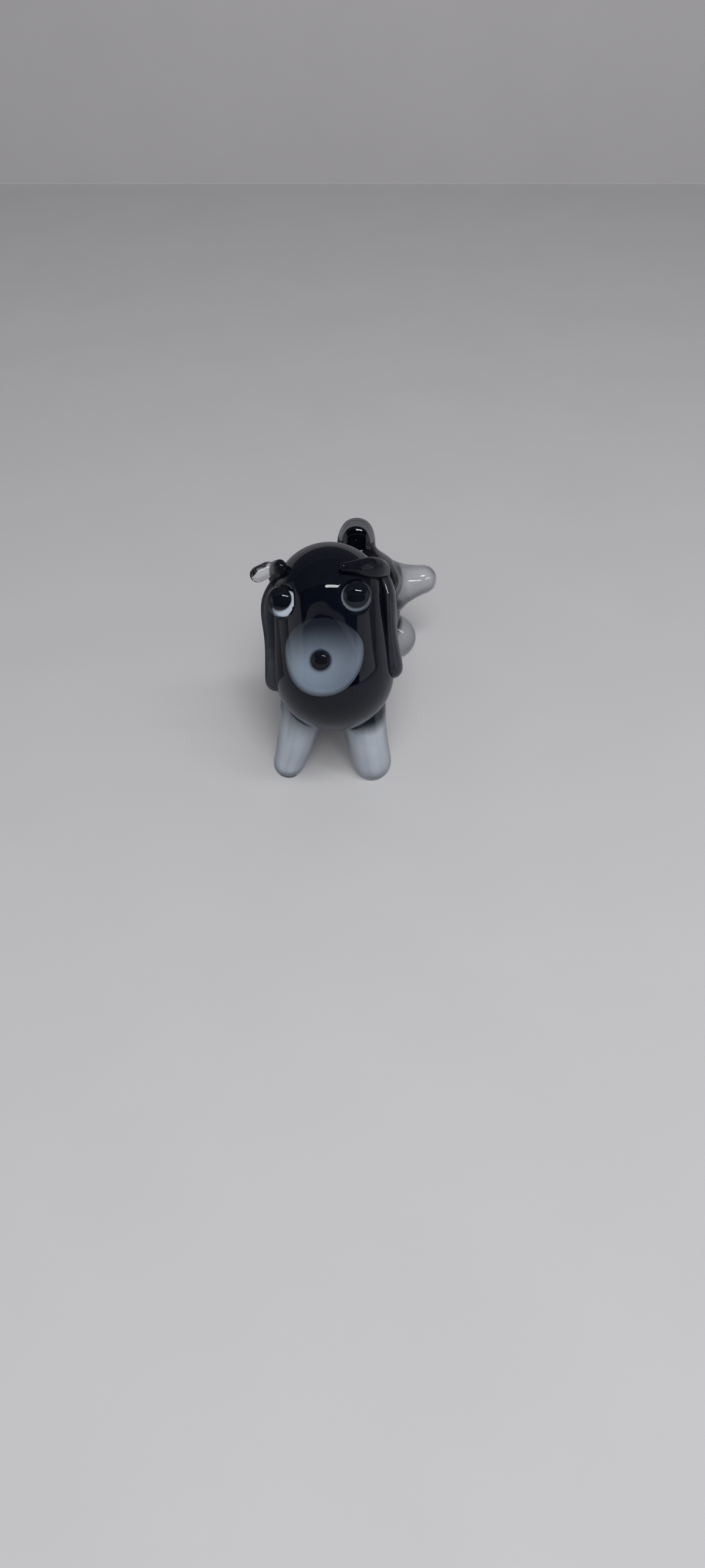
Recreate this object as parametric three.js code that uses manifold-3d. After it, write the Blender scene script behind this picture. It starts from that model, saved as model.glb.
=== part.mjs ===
import * as THREE from 'three';
import { mergeVertices } from 'three/addons/utils/BufferGeometryUtils.js';
import Module from 'manifold-3d';

const wasm = await Module();
wasm.setup();

// A miniature lampworked dog that sits over on one hip. Millimetres and degrees.
// It faces -Y, its own left side is +X, and it rests on Z = 0.
const at = (x, y, z) => new THREE.Vector3(x, y, z);
const turn = THREE.MathUtils.degToRad;
const SIDE = { left: 1, right: -1 };

// Clearance between fused gathers, and how deep each rounded foot is ground flat
const FUSE_GAP = 0.3;
const REST_DEPTH = 0.2;

// Head: an egg that leans back, its front half drawn out more and more from the crown to the muzzle
const HEAD_CENTRE = at(-2.4, 4.0, 18.3);
const HEAD_LEAN = 35;
const HEAD_TILT = 4;
const FACE_TURN = 12;
const CROWN_RADIUS = 6.7;
const CROWN_HEIGHT = 4.5;
const MUZZLE_RADIUS = 7.1;
const MUZZLE_DROP = 4.1;
const MUZZLE_FULLNESS = 0.2;
const HEAD_WALL = 0.6;

// Muzzle patch: an egg-shaped opal inlay, and the nose bead on it
const MUZZLE_OFFSET = 0.35;
const PATCH_TOP = 2.2;
const PATCH_WIDEST = -0.8;
const PATCH_BOTTOM = -6.6;
const PATCH_HALF_WIDTH = 4.5;
const PATCH_RISE = 0.15;
const NOSE_RADIUS = 1.15;
const NOSE_HALF_HEIGHT = 0.6;
const NOSE_HEIGHT = -2.5;

// Eyes: a white bead sunk in the head, a black pupil on it and a clear dome over both
const EYE_SPREAD = 42;
const EYE_HEIGHT = 4.4;
const EYE_LIFT = 6;
const EYE_LOOK = { right: -7, left: 15 };
const EYE_RADIUS = 1.85;
const EYE_HALF_DEPTH = 1.6;
const EYE_SINK = 0.3;
const EYE_STAND = { right: 0.7, left: 0.3 };
const WHITE_LEVEL = 0.15;
const PUPIL_RADIUS = 1.2;
const PUPIL_HALF_DEPTH = 0.35;
const PUPIL_LEVEL = 0.6;

// Ears: cased flaps that hang down the sides of the head from black roots on the crown
const EAR_ANGLE = 97;
const EAR_STANDOFF = { right: 0.45, left: -0.2 };
const EAR_TOP_HEIGHT = 7.4;
const EAR_SHOULDER_DROP = 2.4;
const EAR_LENGTH = { right: 12.2, left: 11.5 };
const EAR_HALF_THICKNESS = 0.9;
const EAR_TOP_HALF_WIDTH = 1.3;
const EAR_HALF_WIDTH = 2.2;
const EAR_WALL = 0.35;
const EAR_ROOT_HALF_THICKNESS = 0.9;
const EAR_ROOT_HALF_WIDTH = 1.2;
const EAR_ROOT_RISE = { right: 0.9, left: 0.3 };
const EAR_ROOT_START = { right: 50, left: 30 };
const EAR_ROOT_TAPER = { right: 0.9, left: 0.45 };
const EAR_TIP_RADIUS = 0.95;
const EAR_TIP_LENGTH = 2.2;
const EAR_TIP_ANGLE = 70;
const EAR_TIP_RISE = 1.0;

// Body: from the neck inside the head, over the chest and back, to the rump
const NECK = at(-2.6, 6.5, 14.5);
const CHEST = at(-2.4, 9.5, 11.0);
const BACK = at(-1.9, 17.0, 9.8);
const RUMP_ACROSS = -1.1;
const RUMP_BACK = 26.0;
const NECK_RADIUS = 4.4;
const CHEST_RADIUS = 5.4;
const BACK_RADIUS = 6.2;
const RUMP_RADIUS = 7.8;
const BODY_WALL = 0.6;

// Tail: a short cased stub that flares into the rump, measured from the rump's centre
const TAIL_LEAN_BACK = 17.5;
const TAIL_LEAN_LEFT = 9.7;
const TAIL_ROOT_LEAN_LEFT = 18;
const TAIL_REACH = 10.3;
const TAIL_ROOT_REACH = 4.5;
const TAIL_ROOT_RADIUS = 6.9;
const TAIL_HUMP_RADIUS = 6.4;
const TAIL_FLARE_RADIUS = 5.1;
const TAIL_NECK_RADIUS = 2.9;
const TAIL_RADIUS = 2.55;
const TAIL_WALL = 0.9;

// Front legs: cased opal gathers, each bowed a little from its foot to its root inside the chest
const LEG_WALL = 0.6;
const FRONT_FOOT_ACROSS = { right: -8.0, left: 2.4 };
const FRONT_FOOT_BACK = { right: 0.2, left: -0.1 };
const FRONT_FOOT_RADIUS = { right: 2.0, left: 2.5 };
const FRONT_KNEE_RADIUS = { right: 2.6, left: 2.75 };
const FRONT_ROOT_RADIUS = { right: 3.2, left: 3.4 };
const FRONT_ROOT_SPREAD = 3.15;
const FRONT_ROOT_FORWARD = 5.1;
const FRONT_ROOT_DROP = 1.0;
const KNEE_SHARE = 0.42;
const KNEE_FORWARD = 1.0;

// Hind legs: both come out on the dog's left. The upper one stands off the ground and flares at its root
const UPPER_SWING = 12;
const UPPER_TIP_RISE = 17.5;
const UPPER_ROOT_RISE = 26;
const UPPER_REACH = 11.5;
const UPPER_ROOT_REACH = 6.8;
const UPPER_TIP_RADIUS = 2.05;
const UPPER_MIDDLE_RADIUS = 2.75;
const UPPER_ROOT_RADIUS = 4.2;
const LOWER_FOOT_ACROSS = 5.9;
const LOWER_FOOT_BACK = 26.2;
const LOWER_FOOT_RADIUS = 3.1;
const LOWER_ROOT_RADIUS = 3.3;
const LOWER_ROOT_SHARE = 0.55;

// The block that rounded feet are ground flat on
const GROUND_SPAN = 100;
const GROUND_DEPTH = 10;

// How far a Bezier handle reaches along a quarter of an ellipse
const QUARTER_ARC_HANDLE = 0.5523;

// Facets round each kind of gather
const HEAD_SIDES = 24;
const BODY_SIDES = 20;
const LIMB_SIDES = 14;
const BEAD_SIDES = 12;

/** The facets round a surface. The hidden ones inside a casing take two thirds as many. */
const facetsFor = (sides, grow) => (grow < 0 ? 2 * Math.round(sides / 3) : sides);

/** The closed solid of a geometry, with its shared vertices joined. */
function solid(geometry) {
  const bare = geometry.clone();
  bare.deleteAttribute('normal');
  bare.deleteAttribute('uv');
  const joined = mergeVertices(bare, 1e-4);
  const index = joined.index.array;
  const triangles = [];
  for (let i = 0; i < index.length; i += 3) {
    const [a, b, c] = [index[i], index[i + 1], index[i + 2]];
    if (a !== b && b !== c && c !== a) {
      triangles.push(a, b, c);
    }
  }
  const vertProperties = Float32Array.from(joined.attributes.position.array);
  const triVerts = Uint32Array.from(triangles);
  return new wasm.Manifold(new wasm.Mesh({ numProp: 3, vertProperties, triVerts }));
}

/** A body with each of the others cut from it. */
function cut(body, ...others) {
  return others.reduce((rest, other) => rest.subtract(other), body);
}

/** The value along a list of sizes, from its first (t = 0) to its last (t = 1). */
function along(sizes, t) {
  const points = sizes.map((size, i) => new THREE.Vector2(i, size));
  return new THREE.SplineCurve(points).getPoint(t).y;
}

/**
 * A gather of glass drawn along a spine and closed by a dome at each end. Its sections are ellipses
 * with half-sizes `wide` towards `across` and `thin` square to it, each grown by `grow`.
 */
function gather({ spine, wide, thin = wide, across = at(1, 0, 0), grow, facets = LIMB_SIDES, steps }) {
  const sides = facetsFor(facets, grow);
  const curve = new THREE.CatmullRomCurve3(spine, false, 'centripetal');
  const domeSteps = Math.round(sides / 4);
  const stations = [];
  for (let i = 1; i <= domeSteps; i++) {
    stations.push({ t: 0, dome: -Math.cos((i / domeSteps) * (Math.PI / 2)) });
  }
  for (let i = 1; i < steps; i++) {
    stations.push({ t: i / steps, dome: 0 });
  }
  for (let i = domeSteps; i >= 1; i--) {
    stations.push({ t: 1, dome: Math.cos((i / domeSteps) * (Math.PI / 2)) });
  }
  const ring = ({ t, dome }) => {
    const tangent = curve.getTangentAt(t);
    const side = across.clone().addScaledVector(tangent, -across.dot(tangent)).normalize();
    const square = tangent.clone().cross(side);
    const halfWide = along(wide, t) + grow;
    const halfThin = along(thin, t) + grow;
    const centre = curve.getPointAt(t).addScaledVector(tangent, dome * Math.min(halfWide, halfThin));
    const share = Math.sqrt(1 - dome * dome);
    return { centre, side, square, halfWide: halfWide * share, halfThin: halfThin * share };
  };
  const vertices = [];
  const push = (point) => vertices.push(point.x, point.y, point.z);
  push(ring({ t: 0, dome: -1 }).centre);
  for (const station of stations) {
    const { centre, side, square, halfWide, halfThin } = ring(station);
    for (let j = 0; j < sides; j++) {
      const angle = (j / sides) * 2 * Math.PI;
      const point = centre.clone().addScaledVector(side, halfWide * Math.cos(angle));
      push(point.addScaledVector(square, halfThin * Math.sin(angle)));
    }
  }
  push(ring({ t: 1, dome: 1 }).centre);
  const last = stations.length * sides + 1;
  const index = [];
  for (let j = 0; j < sides; j++) {
    const next = (j + 1) % sides;
    index.push(0, 1 + next, 1 + j);
    for (let i = 0; i < stations.length - 1; i++) {
      const low = 1 + i * sides;
      const high = low + sides;
      index.push(low + j, low + next, high + next, low + j, high + next, high + j);
    }
    index.push(last - sides + j, last - sides + next, last);
  }
  const geometry = new THREE.BufferGeometry();
  geometry.setAttribute('position', new THREE.Float32BufferAttribute(vertices, 3));
  geometry.setIndex(index);
  return solid(geometry);
}

/** An oblate bead with its short axis along `axis`. */
function bead(centre, axis, radius, halfDepth, grow = 0) {
  const geometry = new THREE.SphereGeometry(1, BEAD_SIDES, BEAD_SIDES / 2);
  geometry.scale(radius + grow, halfDepth + grow, radius + grow);
  geometry.applyQuaternion(new THREE.Quaternion().setFromUnitVectors(at(0, 1, 0), axis));
  geometry.translate(centre.x, centre.y, centre.z);
  return solid(geometry);
}

/** The half-space beyond `centre` in the direction `axis`, as a block larger than any bead. */
function beyond(centre, axis) {
  const size = 4 * EYE_RADIUS;
  const geometry = new THREE.BoxGeometry(size, size, size);
  geometry.translate(0, size / 2, 0);
  geometry.applyQuaternion(new THREE.Quaternion().setFromUnitVectors(at(0, 1, 0), axis));
  geometry.translate(centre.x, centre.y, centre.z);
  return solid(geometry);
}

/** The ground that every foot is cut flat on. */
function ground() {
  const geometry = new THREE.BoxGeometry(GROUND_SPAN, GROUND_SPAN, GROUND_DEPTH);
  geometry.translate(0, 0, -GROUND_DEPTH / 2);
  return solid(geometry);
}

// The face's own frame: x to the dog's left, y up the head and z out of the face
const headFrame = new THREE.Matrix4()
  .makeRotationX(turn(90 - HEAD_LEAN))
  .multiply(new THREE.Matrix4().makeRotationZ(turn(HEAD_TILT)))
  .multiply(new THREE.Matrix4().makeRotationY(turn(-FACE_TURN)))
  .setPosition(HEAD_CENTRE);
const inHead = (x, y, z) => at(x, y, z).applyMatrix4(headFrame);
const headDirection = (x, y, z) => at(x, y, z).transformDirection(headFrame);

/** The slope of the cone that touches both of the head's spheres. */
const headSlope = Math.asin((MUZZLE_RADIUS - CROWN_RADIUS) / (CROWN_HEIGHT + MUZZLE_DROP));

/** The head's radius at a height up the head: its two spheres and the cone between them. */
function headRadiusAt(height) {
  const top = CROWN_HEIGHT + CROWN_RADIUS * Math.sin(headSlope);
  if (height > top) {
    return Math.sqrt(CROWN_RADIUS ** 2 - (height - CROWN_HEIGHT) ** 2);
  }
  if (height < MUZZLE_RADIUS * Math.sin(headSlope) - MUZZLE_DROP) {
    return Math.sqrt(MUZZLE_RADIUS ** 2 - (height + MUZZLE_DROP) ** 2);
  }
  return CROWN_RADIUS * Math.cos(headSlope) + (top - height) * Math.tan(headSlope);
}

/** How many times as far from the axis the front half of the head reaches at a height, as drawn out. */
function frontStretch(height) {
  const top = CROWN_HEIGHT + CROWN_RADIUS;
  const share = THREE.MathUtils.clamp((top - height) / (top + MUZZLE_DROP), 0, 1);
  return 1 + MUZZLE_FULLNESS * (1 - (1 - share) ** 2);
}

/** The depth out of the face, at a height up the head, that a depth of the undrawn head becomes. */
const drawnOut = (depth, height) => (depth > 0 ? depth * frontStretch(height) : depth);

/** The head egg, grown by `grow`: a turned profile of two arcs and a cone, its front half drawn out. */
function head(grow = 0) {
  const profile = new THREE.Path();
  profile.moveTo(0, -MUZZLE_DROP - MUZZLE_RADIUS - grow);
  profile.absarc(0, -MUZZLE_DROP, MUZZLE_RADIUS + grow, -Math.PI / 2, headSlope, false);
  const middle = (MUZZLE_RADIUS + CROWN_RADIUS) / 2 + grow;
  const middleHeight = (CROWN_HEIGHT - MUZZLE_DROP) / 2;
  profile.lineTo(middle * Math.cos(headSlope), middleHeight + middle * Math.sin(headSlope));
  profile.absarc(0, CROWN_HEIGHT, CROWN_RADIUS + grow, headSlope, Math.PI / 2, false);
  const points = profile.getPoints(grow < 0 ? 2 : 3);
  points[0].x = 0;
  points[points.length - 1].x = 0;
  const geometry = new THREE.LatheGeometry(points, facetsFor(HEAD_SIDES, grow));
  const position = geometry.attributes.position;
  for (let i = 0; i < position.count; i++) {
    position.setZ(i, drawnOut(position.getZ(i), position.getY(i)));
  }
  geometry.applyMatrix4(headFrame);
  return solid(geometry);
}

const rumpCentre = at(RUMP_ACROSS, RUMP_BACK, RUMP_RADIUS - REST_DEPTH);

/** The body, from the neck to the rump. */
function body(grow = 0) {
  return gather({
    spine: [NECK, CHEST, BACK, rumpCentre],
    wide: [NECK_RADIUS, CHEST_RADIUS, BACK_RADIUS, RUMP_RADIUS],
    grow,
    facets: BODY_SIDES,
    steps: 9,
  });
}

/** A point that lies some way from the rump's centre in a direction. */
const fromRump = (direction, reach) => rumpCentre.clone().addScaledVector(direction, reach);

/** The tail, from inside the rump to its rounded end. */
function tail(grow = 0) {
  const towards = (left) => at(Math.tan(turn(left)), Math.tan(turn(TAIL_LEAN_BACK)), 1).normalize();
  return gather({
    spine: [
      fromRump(towards(TAIL_ROOT_LEAN_LEFT), TAIL_ROOT_REACH),
      fromRump(towards(TAIL_LEAN_LEFT), TAIL_REACH),
    ],
    wide: [TAIL_ROOT_RADIUS, TAIL_HUMP_RADIUS, TAIL_FLARE_RADIUS, TAIL_NECK_RADIUS, TAIL_RADIUS],
    grow,
    steps: 8,
  });
}

/** A front leg, from its foot to its root inside the chest. */
function frontLeg(name, grow = 0) {
  const side = SIDE[name];
  const radius = FRONT_FOOT_RADIUS[name];
  const foot = at(FRONT_FOOT_ACROSS[name], FRONT_FOOT_BACK[name], radius - REST_DEPTH);
  const root = CHEST.clone().add(at(side * FRONT_ROOT_SPREAD, -FRONT_ROOT_FORWARD, -FRONT_ROOT_DROP));
  const knee = foot.clone().lerp(root, KNEE_SHARE).add(at(0, -KNEE_FORWARD, 0));
  const wide = [radius, FRONT_KNEE_RADIUS[name], FRONT_ROOT_RADIUS[name]];
  return gather({ spine: [foot, knee, root], wide, grow, steps: 6 });
}

/** The upper hind leg, from its tip to its flared root inside the rump. */
function upperLeg(grow = 0) {
  const level = at(Math.cos(turn(UPPER_SWING)), Math.sin(turn(UPPER_SWING)), 0);
  const towards = (rise) => level.clone().multiplyScalar(Math.cos(turn(rise))).setZ(Math.sin(turn(rise)));
  return gather({
    spine: [
      fromRump(towards(UPPER_TIP_RISE), UPPER_REACH),
      fromRump(towards(UPPER_ROOT_RISE), UPPER_ROOT_REACH),
    ],
    wide: [UPPER_TIP_RADIUS, UPPER_MIDDLE_RADIUS, UPPER_ROOT_RADIUS],
    grow,
    steps: 6,
  });
}

/** The lower hind leg, from its foot on the ground to its root inside the rump. */
function lowerLeg(grow = 0) {
  const foot = at(LOWER_FOOT_ACROSS, LOWER_FOOT_BACK, LOWER_FOOT_RADIUS - REST_DEPTH);
  const root = foot.clone().lerp(rumpCentre, 1 - LOWER_ROOT_SHARE);
  return gather({ spine: [foot, root], wide: [LOWER_FOOT_RADIUS, LOWER_ROOT_RADIUS], grow, steps: 4 });
}

/** The prism that bounds the muzzle patch, square to the face: an egg of four quarter arcs. */
function patchPrism(grow = 0) {
  const half = PATCH_HALF_WIDTH + grow;
  const top = PATCH_TOP + grow;
  const bottom = PATCH_BOTTOM - grow;
  const tangent = QUARTER_ARC_HANDLE * half;
  const shoulder = PATCH_WIDEST + QUARTER_ARC_HANDLE * (top - PATCH_WIDEST);
  const jaw = PATCH_WIDEST + QUARTER_ARC_HANDLE * (bottom - PATCH_WIDEST);
  const outline = new THREE.Shape();
  outline.moveTo(0, bottom);
  outline.bezierCurveTo(tangent, bottom, half, jaw, half, PATCH_WIDEST);
  outline.bezierCurveTo(half, shoulder, tangent, top, 0, top);
  outline.bezierCurveTo(-tangent, top, -half, shoulder, -half, PATCH_WIDEST);
  outline.bezierCurveTo(-half, jaw, -tangent, bottom, 0, bottom);
  const geometry = new THREE.ExtrudeGeometry(outline, {
    depth: 2 * MUZZLE_RADIUS,
    bevelEnabled: false,
    curveSegments: 4,
  });
  geometry.translate(MUZZLE_OFFSET, 0, 0);
  geometry.applyMatrix4(headFrame);
  return solid(geometry);
}

/** A point beside the head, `distance` from its axis at an angle from the face's front, drawn out with it. */
function besideHead(side, angle, distance, height) {
  const across = side * distance * Math.sin(turn(angle));
  return inHead(across, height, drawnOut(distance * Math.cos(turn(angle)), height));
}

/** Where an eye sits: its centre and the direction that it looks in. */
function eyePlace(name) {
  const side = SIDE[name];
  const look = turn(side * EYE_LOOK[name]);
  const distance = headRadiusAt(EYE_HEIGHT) - EYE_SINK;
  const level = Math.cos(turn(EYE_LIFT));
  const axis = headDirection(level * Math.sin(look), Math.sin(turn(EYE_LIFT)), level * Math.cos(look));
  const seat = besideHead(side, EYE_SPREAD, distance, EYE_HEIGHT);
  return { centre: seat.addScaledVector(axis, EYE_STAND[name]), axis };
}

/** The whole eye, the seat that it takes in the head when grown. */
function eye(name, grow = 0) {
  const { centre, axis } = eyePlace(name);
  return bead(centre, axis, EYE_RADIUS, EYE_HALF_DEPTH, grow);
}

/** The pupil of an eye. */
function pupil(name, grow = 0) {
  const { centre, axis } = eyePlace(name);
  return bead(centre.clone().addScaledVector(axis, PUPIL_LEVEL), axis, PUPIL_RADIUS, PUPIL_HALF_DEPTH, grow);
}

/** The nose bead, centred on the surface of the muzzle patch. */
function nose(grow = 0) {
  const distance = drawnOut(headRadiusAt(NOSE_HEIGHT) + PATCH_RISE, NOSE_HEIGHT);
  const centre = inHead(MUZZLE_OFFSET, NOSE_HEIGHT, distance);
  return bead(centre, headDirection(0, 0, 1), NOSE_RADIUS, NOSE_HALF_HEIGHT, grow);
}

/** The height of an ear's lower end, less its rounding. */
const earEnd = (name) => EAR_TOP_HEIGHT - EAR_LENGTH[name];

/** An ear flap, flat against the side of the head. */
function earFlap(name, grow = 0) {
  const side = SIDE[name];
  const distance = MUZZLE_RADIUS + EAR_STANDOFF[name];
  const shoulder = EAR_TOP_HEIGHT - EAR_SHOULDER_DROP;
  return gather({
    spine: [
      besideHead(side, EAR_ANGLE, headRadiusAt(EAR_TOP_HEIGHT), EAR_TOP_HEIGHT),
      besideHead(side, EAR_ANGLE, distance, shoulder),
      besideHead(side, EAR_ANGLE, distance, (shoulder + earEnd(name)) / 2),
      besideHead(side, EAR_ANGLE, distance, earEnd(name)),
    ],
    wide: [EAR_TOP_HALF_WIDTH, EAR_HALF_WIDTH, EAR_HALF_WIDTH, EAR_HALF_WIDTH],
    thin: [EAR_HALF_THICKNESS, EAR_HALF_THICKNESS, EAR_HALF_THICKNESS, EAR_HALF_THICKNESS],
    across: headDirection(Math.cos(turn(EAR_ANGLE)), 0, -side * Math.sin(turn(EAR_ANGLE))),
    grow,
    facets: BEAD_SIDES,
    steps: 7,
  });
}

/** A black ear root. The right one is short and the left one runs over the crown to its flap. */
function earRoot(name, grow = 0) {
  const side = SIDE[name];
  const lift = CROWN_RADIUS + EAR_ROOT_HALF_THICKNESS / 2;
  const start = EAR_ROOT_START[name];
  const taper = EAR_ROOT_TAPER[name];
  const spine = [0, 1 / 3, 2 / 3, 1].map((share) => {
    const height = EAR_TOP_HEIGHT + EAR_ROOT_RISE[name] * (1 - share ** 2);
    const distance = Math.sqrt(lift ** 2 - (height - CROWN_HEIGHT) ** 2);
    return besideHead(side, start + share * (EAR_ANGLE - start), distance, height);
  });
  return gather({
    spine,
    wide: [taper, 1, 1].map((share) => share * EAR_ROOT_HALF_WIDTH),
    thin: [taper, (1 + taper) / 2, 1].map((share) => share * EAR_ROOT_HALF_THICKNESS),
    across: headDirection(0, 1, 0),
    grow,
    facets: BEAD_SIDES,
    steps: 5,
  });
}

/** The clear stub that stands out from the root of the right ear. */
function earTip(grow = 0) {
  const start = headRadiusAt(EAR_TOP_HEIGHT) + EAR_TIP_RADIUS;
  const end = start + EAR_TIP_LENGTH - EAR_TIP_RADIUS;
  return gather({
    spine: [
      besideHead(-1, EAR_TIP_ANGLE, start, EAR_TOP_HEIGHT + EAR_TIP_RISE),
      besideHead(-1, EAR_TIP_ANGLE, end, EAR_TOP_HEIGHT + EAR_TIP_RISE / 2),
    ],
    wide: [EAR_TIP_RADIUS, EAR_TIP_RADIUS],
    across: headDirection(0, 1, 0),
    grow,
    facets: BEAD_SIDES,
    steps: 2,
  });
}

const black = { color: 0x0a0b0e, roughness: 0.05, metalness: 0 };
const clear = { color: 0xdfe7ea, roughness: 0.03, metalness: 0 };
const opal = { color: 0xe6eaec, roughness: 0.12, metalness: 0 };

const dog = new THREE.Group();

/** Adds one piece to the dog, in glass of its own. */
function add(name, shape, glass) {
  const { vertProperties, triVerts } = shape.getMesh();
  const geometry = new THREE.BufferGeometry();
  geometry.setAttribute('position', new THREE.BufferAttribute(vertProperties, 3));
  geometry.setIndex(new THREE.BufferAttribute(triVerts, 1));
  geometry.computeVertexNormals();
  const mesh = new THREE.Mesh(geometry, new THREE.MeshStandardMaterial(glass));
  mesh.name = name;
  dog.add(mesh);
}

const floor = ground();
const beds = Object.keys(SIDE).flatMap((name) => [eye(name, FUSE_GAP), earFlap(name, FUSE_GAP)]);

// Head
add('head_core', cut(head(-HEAD_WALL - FUSE_GAP), ...beds, nose(FUSE_GAP)), black);
add('head_casing', cut(head(), head(-HEAD_WALL), ...beds, patchPrism(FUSE_GAP), body(-BODY_WALL)), clear);
add('muzzle_patch', cut(head(PATCH_RISE).intersect(patchPrism()), head(-HEAD_WALL), nose(FUSE_GAP)), opal);
add('nose', nose(), black);

// Eyes and ears
for (const name of Object.keys(SIDE)) {
  const { centre, axis } = eyePlace(name);
  const above = (level) => beyond(centre.clone().addScaledVector(axis, level), axis);
  add(`eye_white_${name}`, cut(eye(name), above(WHITE_LEVEL), pupil(name, FUSE_GAP)), opal);
  add(`eye_pupil_${name}`, pupil(name), black);
  const dome = eye(name).intersect(above(WHITE_LEVEL + FUSE_GAP));
  add(`eye_lens_${name}`, cut(dome, pupil(name, FUSE_GAP)), clear);
  add(`ear_root_${name}`, cut(earRoot(name), head(FUSE_GAP), eye(name, FUSE_GAP)), black);
  add(`ear_flap_${name}`, cut(earFlap(name, -EAR_WALL - FUSE_GAP), earRoot(name, FUSE_GAP)), black);
  add(`ear_casing_${name}`, cut(earFlap(name), earFlap(name, -EAR_WALL), earRoot(name, FUSE_GAP)), clear);
}
const besideTip = [earRoot('right', FUSE_GAP), earFlap('right', FUSE_GAP), head(FUSE_GAP)];
add('ear_tip_right', cut(earTip(), ...besideTip), clear);

// Body and tail: the black cores run on through openings in the casings
add('body_core', cut(body(-BODY_WALL - FUSE_GAP), head(-HEAD_WALL)), black);
add('body_casing', cut(body(), body(-BODY_WALL), head(FUSE_GAP), tail(-TAIL_WALL), floor), clear);
add('tail_core', cut(tail(-TAIL_WALL - FUSE_GAP), body(-BODY_WALL)), black);
add('tail_casing', cut(tail(), tail(-TAIL_WALL), body(FUSE_GAP)), clear);

// Legs: an opal core in a clear casing that opens against the body
const legs = [
  ['front_leg', 'left', (grow) => frontLeg('left', grow)],
  ['front_leg', 'right', (grow) => frontLeg('right', grow)],
  ['hind_leg', 'upper', upperLeg],
  ['hind_leg', 'lower', lowerLeg],
];
const around = [body(FUSE_GAP), head(FUSE_GAP), tail(FUSE_GAP)];
for (const [pair, name, leg] of legs) {
  add(`${pair}_core_${name}`, cut(leg(-LEG_WALL - FUSE_GAP), ...around), opal);
  add(`${pair}_casing_${name}`, cut(leg(0), leg(-LEG_WALL), ...around, floor), clear);
}

// The origin is under the middle of the dog, on the surface that it sits on
const box = new THREE.Box3().setFromObject(dog);
const middle = box.getCenter(at(0, 0, 0));
dog.position.set(-middle.x, -middle.y, -box.min.z);

export default dog;
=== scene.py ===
import math

import bpy
import numpy as np
from mathutils import Matrix


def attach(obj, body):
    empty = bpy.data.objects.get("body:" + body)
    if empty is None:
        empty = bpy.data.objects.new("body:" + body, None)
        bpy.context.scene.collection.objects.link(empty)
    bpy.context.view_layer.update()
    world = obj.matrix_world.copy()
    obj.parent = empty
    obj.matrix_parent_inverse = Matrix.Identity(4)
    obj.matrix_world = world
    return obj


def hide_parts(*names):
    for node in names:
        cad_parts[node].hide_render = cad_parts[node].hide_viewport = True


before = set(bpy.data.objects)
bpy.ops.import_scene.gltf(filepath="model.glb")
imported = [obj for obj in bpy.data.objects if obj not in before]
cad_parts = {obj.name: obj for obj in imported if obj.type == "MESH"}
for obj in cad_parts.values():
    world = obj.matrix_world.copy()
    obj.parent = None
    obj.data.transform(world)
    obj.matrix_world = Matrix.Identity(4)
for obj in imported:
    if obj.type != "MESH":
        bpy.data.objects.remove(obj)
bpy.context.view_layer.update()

# Camera. The dog was photographed from close in front and above. Places here and below are in millimetres
# from the ground between its front feet: x to the dog's own left, y back to its tail, z up.
MM = 0.001
DOG_ZERO = np.array([0.216, -13.723, 0.0])
CAMERA_PLACE = np.array([0.0, -112.3, 99.4])
CAMERA_PITCH = math.radians(42)
CAMERA_LENS, CAMERA_SENSOR, CAMERA_NEAREST = 27.04, 36, 2


def in_frame(points):
    """Points in the dog's millimetres as points of the frame: moved by DOG_ZERO and made metres."""
    return (np.asarray(points, float) + DOG_ZERO) * MM


camera = bpy.data.objects.new("camera", bpy.data.cameras.new("camera"))
camera.data.lens = CAMERA_LENS
camera.data.sensor_width = CAMERA_SENSOR
camera.data.clip_start = CAMERA_NEAREST * MM
camera.location = in_frame(CAMERA_PLACE)
camera.rotation_euler = (math.pi / 2 - CAMERA_PITCH, 0, 0)
bpy.context.scene.collection.objects.link(camera)
bpy.context.scene.camera = camera
bpy.context.scene.view_settings.view_transform = "Standard"

# Head. One egg of black glass that was marvered smooth and then cased in clear. Its front half is drawn out
# more and more from the crown down to the muzzle. It leans back, tilts and turns a little.
HEAD_CENTRE = np.array([-2.4, 4.0, 18.3])
HEAD_LEAN, HEAD_TILT, FACE_TURN = np.radians([35, 4, 12])
CROWN_RADIUS, CROWN_HEIGHT = 6.7, 4.5
MUZZLE_RADIUS, MUZZLE_DROP, MUZZLE_FULLNESS = 7.1, 4.1, 0.2
HEAD_SLOPE = math.asin((MUZZLE_RADIUS - CROWN_RADIUS) / (CROWN_HEIGHT + MUZZLE_DROP))
HEAD_CORE_DEPTH = 0.5


def turned(axis, angle):
    """The rotation matrix about x (0), y (1) or z (2): the next axis in order goes towards the one after."""
    one, two = (axis + 1) % 3, (axis + 2) % 3
    matrix = np.eye(3)
    matrix[[one, two], [one, two]] = math.cos(angle)
    matrix[two, one] = math.sin(angle)
    matrix[one, two] = -math.sin(angle)
    return matrix


HEAD_TURN = turned(0, math.pi / 2 - HEAD_LEAN) @ turned(2, HEAD_TILT) @ turned(1, -FACE_TURN)


def in_head(points):
    """Points of the face's own frame (x across, y up the head, z out of the face) in the dog's frame."""
    return np.asarray(points, float) @ HEAD_TURN.T + HEAD_CENTRE


def drawn_out(depth, height):
    """The depth out of the face that a depth of the undrawn head becomes. In front of the head's axis it grows
    by MUZZLE_FULLNESS times 1 - (1 - s)^2, where s is the share of the way from the crown's top to the muzzle."""
    top = CROWN_HEIGHT + CROWN_RADIUS
    share = np.clip((top - np.asarray(height, float)) / (top + MUZZLE_DROP), 0, 1)
    return np.where(depth > 0, depth * (1 + MUZZLE_FULLNESS * (1 - (1 - share) ** 2)), depth)


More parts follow.
